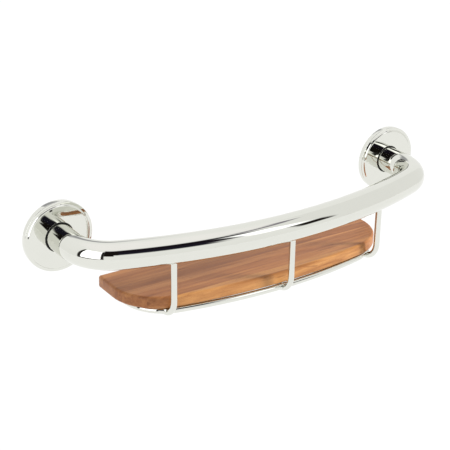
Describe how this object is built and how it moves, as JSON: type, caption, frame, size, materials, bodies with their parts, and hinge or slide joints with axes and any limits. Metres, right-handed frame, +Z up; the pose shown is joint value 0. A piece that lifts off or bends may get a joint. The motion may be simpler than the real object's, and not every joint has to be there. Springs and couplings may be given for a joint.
{
  "type": "grab bar",
  "caption": "Wall-mounted curved tubular grab bar with round covers over its screw plates and a wooden shelf hung below on wire rods and a bent wire rail.",
  "frame": {"origin": "on the wall's surface, midway between the two necks, at the height of the tube's axis", "axes": "+X along the wall to the right as seen from the room, +Y into the wall, +Z up; the room is on the -Y side"},
  "size_m": [0.547, 0.154, 0.1288],
  "materials": {
    "chrome": "mirror polished",
    "plate_steel": "satin",
    "screw_steel": "bright",
    "rubber": "matte",
    "seal": "matte foam",
    "wood": "oiled, satin"
  },
  "bodies": {
    "bar": {"grab_rail": "chrome", "mount_plate_left": "plate_steel", "mount_plate_right": "plate_steel", "wall_seal_left": "seal", "wall_seal_right": "seal", "fixing_screw_left_1": "screw_steel", "fixing_screw_left_2": "screw_steel", "fixing_screw_left_3": "screw_steel", "fixing_screw_right_1": "screw_steel", "fixing_screw_right_2": "screw_steel", "fixing_screw_right_3": "screw_steel", "shelf_rod_left": "chrome", "shelf_rod_middle": "chrome", "shelf_rod_right": "chrome", "shelf_rail_front_left": "chrome", "shelf_rail_front_right": "chrome", "shelf_rail_left": "chrome", "shelf_rail_right": "chrome", "shelf_rail_back_left": "chrome", "shelf_rail_back_right": "chrome", "shelf_board": "wood", "shelf_tab_left_front": "plate_steel", "shelf_tab_left_back": "plate_steel", "shelf_tab_right_front": "plate_steel", "shelf_tab_right_back": "plate_steel", "shelf_screw_left_front": "screw_steel", "shelf_screw_left_back": "screw_steel", "shelf_screw_right_front": "screw_steel", "shelf_screw_right_back": "screw_steel"},
    "left_cover": {"cover_left": "chrome", "cover_ring_left": "rubber"},
    "right_cover": {"cover_right": "chrome", "cover_ring_right": "rubber"}
  },
  "joints": [
    {"name": "left_cover_slide", "type": "slide", "parent": "bar", "child": "left_cover", "axis": [0, -1, 0], "range_m": [0, 0.026]},
    {"name": "right_cover_slide", "type": "slide", "parent": "bar", "child": "right_cover", "axis": [0, -1, 0], "range_m": [0, 0.026]}
  ]
}
